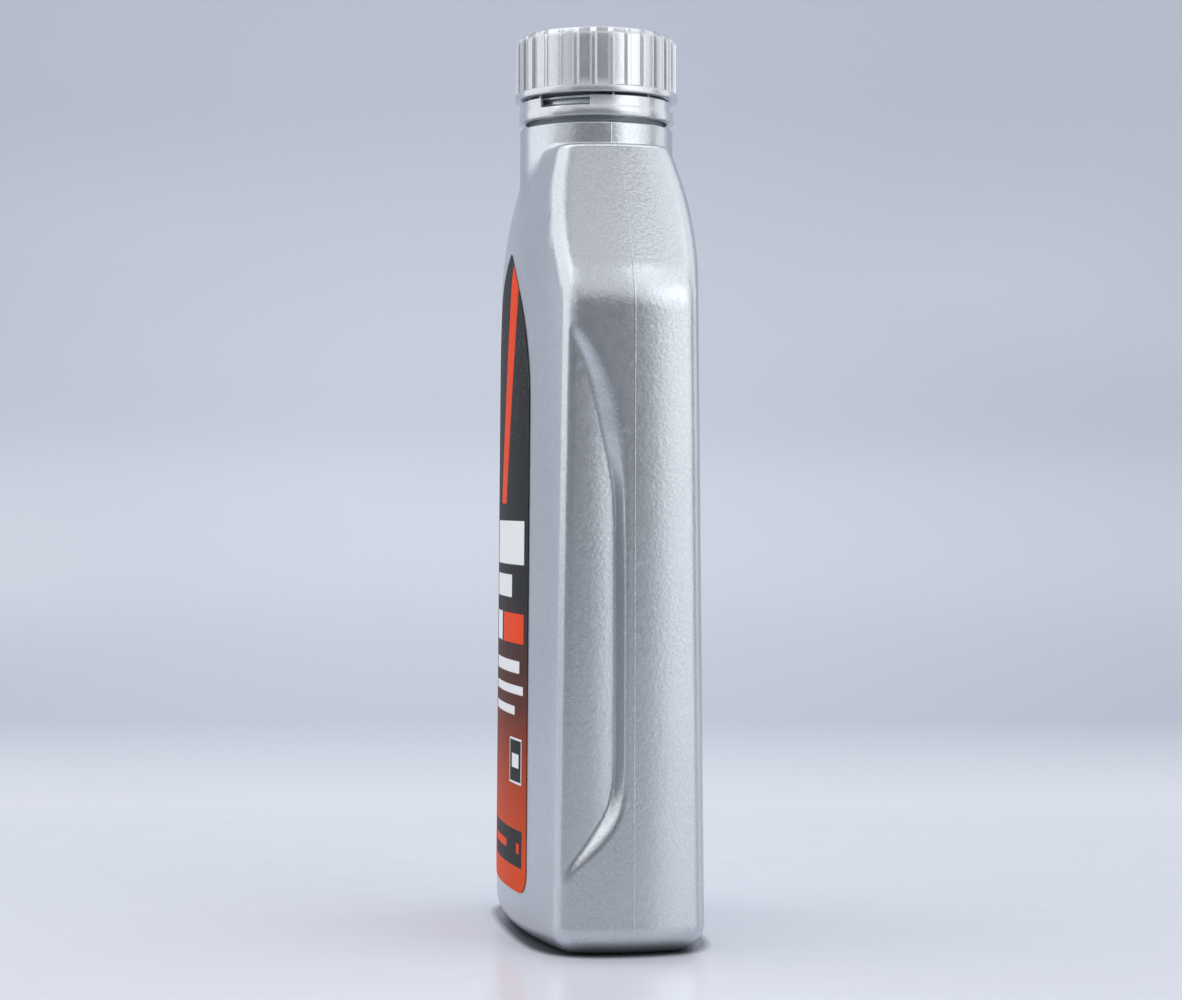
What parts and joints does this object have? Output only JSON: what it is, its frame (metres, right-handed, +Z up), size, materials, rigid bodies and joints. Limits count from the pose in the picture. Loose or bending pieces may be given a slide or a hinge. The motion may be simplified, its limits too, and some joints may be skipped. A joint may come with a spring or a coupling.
{
  "type": "motor oil bottle",
  "caption": "Flat one-litre oil bottle with bowed wide faces, narrow sides with a swept grip recess, sloping shoulders and a ribbed screw cap over a tamper band.",
  "frame": {"origin": "on the floor under the middle of the bottle", "axes": "+Z up along the neck, X across the wide faces, front face with the label towards -Y"},
  "size_m": [0.1138, 0.0548, 0.262],
  "materials": {
    "silver_body": "satin metallic",
    "silver_cap": "satin metallic",
    "liner": "matte",
    "label_film": "gloss film",
    "oil": "clear amber"
  },
  "bodies": {
    "bottle": {"bottle": "silver_body", "tamper_band": "silver_cap", "front_label": "label_film", "oil": "oil"},
    "liner": {"cap_liner": "liner"},
    "cap": {"cap": "silver_cap"}
  },
  "joints": [
    {"name": "cap_lift", "type": "slide", "parent": "bottle", "child": "liner", "axis": [0, 0, 1], "range_m": [0, 0.006]},
    {"name": "cap_turn", "type": "hinge", "parent": "liner", "child": "cap", "pos_m": [0, 0, 0.25], "axis": [0, 0, 1], "range_deg": [0, 540]}
  ],
  "couplings": [
    {"joint": "cap_lift", "follows": "cap_turn", "m_per_rad": 0.00063662}
  ]
}
